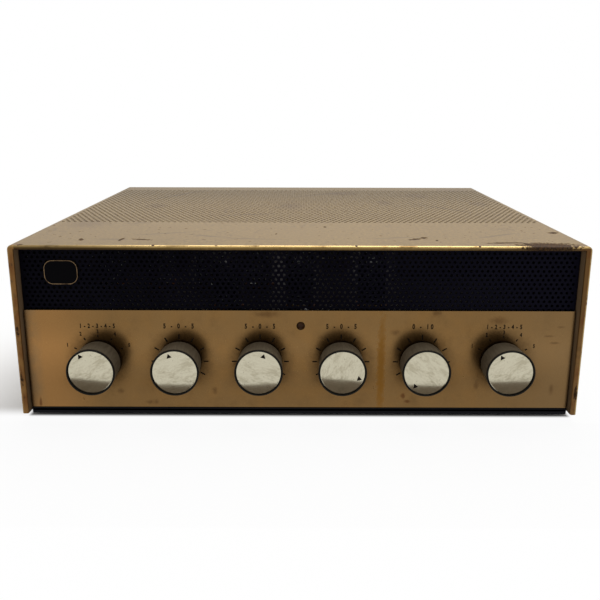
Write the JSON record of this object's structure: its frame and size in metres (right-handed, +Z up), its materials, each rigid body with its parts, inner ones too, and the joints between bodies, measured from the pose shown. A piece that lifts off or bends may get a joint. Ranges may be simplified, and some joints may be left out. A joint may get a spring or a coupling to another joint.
{
  "type": "tube integrated amplifier",
  "caption": "Low wide stereo tube amplifier: perforated wraparound cover, dark grille, bronze panel with a row of round control knobs and a pilot lens.",
  "frame": {"origin": "middle of the footprint, knobs included, on the surface that the feet stand on", "axes": "+X to the right seen from the front, +Y from the knobs to the rear connectors, +Z up"},
  "size_m": [0.352, 0.294, 0.1144],
  "materials": {
    "cover_paint": "worn gold-tan enamel",
    "panel_paint": "bronze enamel",
    "black_paint": "satin black enamel",
    "gilt_rim": "polished rim on a dark field",
    "chassis_plate": "plated steel",
    "rubber": "matt",
    "lens_plastic": "dark red, unlit",
    "bright_steel": "bright nickel plate",
    "lamination": "varnished laminations",
    "transformer_paint": "black enamel",
    "aluminium": "polished, scratched",
    "tube_glass": "clear",
    "phenolic": "brown laminate",
    "knob_plastic": "faded dark brown",
    "fuse_plastic": "moulded black"
  },
  "bodies": {
    "case": {"top_cover": "cover_paint", "bottom_plate": "black_paint", "front_panel": "panel_paint", "front_grille": "black_paint", "blank_plate": "gilt_rim", "chassis": "chassis_plate", "rear_screen": "black_paint", "pilot_lens": "lens_plastic", "pilot_lamp_holder": "bright_steel", "foot_front_left": "rubber", "foot_front_right": "rubber", "foot_rear_left": "rubber", "foot_rear_right": "rubber", "function_switch": "chassis_plate", "balance_pot": "chassis_plate", "treble_pot": "chassis_plate", "bass_pot": "chassis_plate", "volume_pot": "chassis_plate", "selector_switch": "chassis_plate", "preamp_tube_1_socket": "phenolic", "preamp_tube_1": "tube_glass", "preamp_tube_2_socket": "phenolic", "preamp_tube_2": "tube_glass", "preamp_tube_3_socket": "phenolic", "preamp_tube_3": "tube_glass", "output_tube_1_socket": "phenolic", "output_tube_1": "tube_glass", "output_tube_2_socket": "phenolic", "output_tube_2": "tube_glass", "output_tube_3_socket": "phenolic", "output_tube_3": "tube_glass", "output_tube_4_socket": "phenolic", "output_tube_4": "tube_glass", "power_transformer_core": "lamination", "power_transformer_cover": "transformer_paint", "output_transformer_1": "lamination", "output_transformer_2": "lamination", "filter_capacitor": "aluminium", "input_jack_strip": "phenolic", "speaker_terminal_strip": "phenolic", "fuse_holder": "fuse_plastic", "cord_grommet": "rubber"},
    "function_control": {"function_shaft": "bright_steel", "function_knob": "knob_plastic", "function_knob_cap": "aluminium"},
    "balance_control": {"balance_shaft": "bright_steel", "balance_knob": "knob_plastic", "balance_knob_cap": "aluminium"},
    "treble_control": {"treble_shaft": "bright_steel", "treble_knob": "knob_plastic", "treble_knob_cap": "aluminium"},
    "bass_control": {"bass_shaft": "bright_steel", "bass_knob": "knob_plastic", "bass_knob_cap": "aluminium"},
    "volume_control": {"volume_shaft": "bright_steel", "volume_knob": "knob_plastic", "volume_knob_cap": "aluminium"},
    "selector_control": {"selector_shaft": "bright_steel", "selector_knob": "knob_plastic", "selector_knob_cap": "aluminium"}
  },
  "joints": [
    {"name": "function_turn", "type": "hinge", "parent": "case", "child": "function_control", "pos_m": [-0.1262, -0.128, 0.0387], "axis": [0, 1, 0], "range_deg": [-30, 90]},
    {"name": "balance_turn", "type": "hinge", "parent": "case", "child": "balance_control", "pos_m": [-0.0754, -0.128, 0.0387], "axis": [0, 1, 0], "range_deg": [-133, 167]},
    {"name": "treble_turn", "type": "hinge", "parent": "case", "child": "treble_control", "pos_m": [-0.0246, -0.128, 0.0387], "axis": [0, 1, 0], "range_deg": [-166, 134]},
    {"name": "bass_turn", "type": "hinge", "parent": "case", "child": "bass_control", "pos_m": [0.0262, -0.128, 0.0387], "axis": [0, 1, 0], "range_deg": [-260, 40]},
    {"name": "volume_turn", "type": "hinge", "parent": "case", "child": "volume_control", "pos_m": [0.077, -0.128, 0.0387], "axis": [0, 1, 0], "range_deg": [-8, 292]},
    {"name": "selector_turn", "type": "hinge", "parent": "case", "child": "selector_control", "pos_m": [0.1278, -0.128, 0.0387], "axis": [0, 1, 0], "range_deg": [-30, 90]}
  ]
}
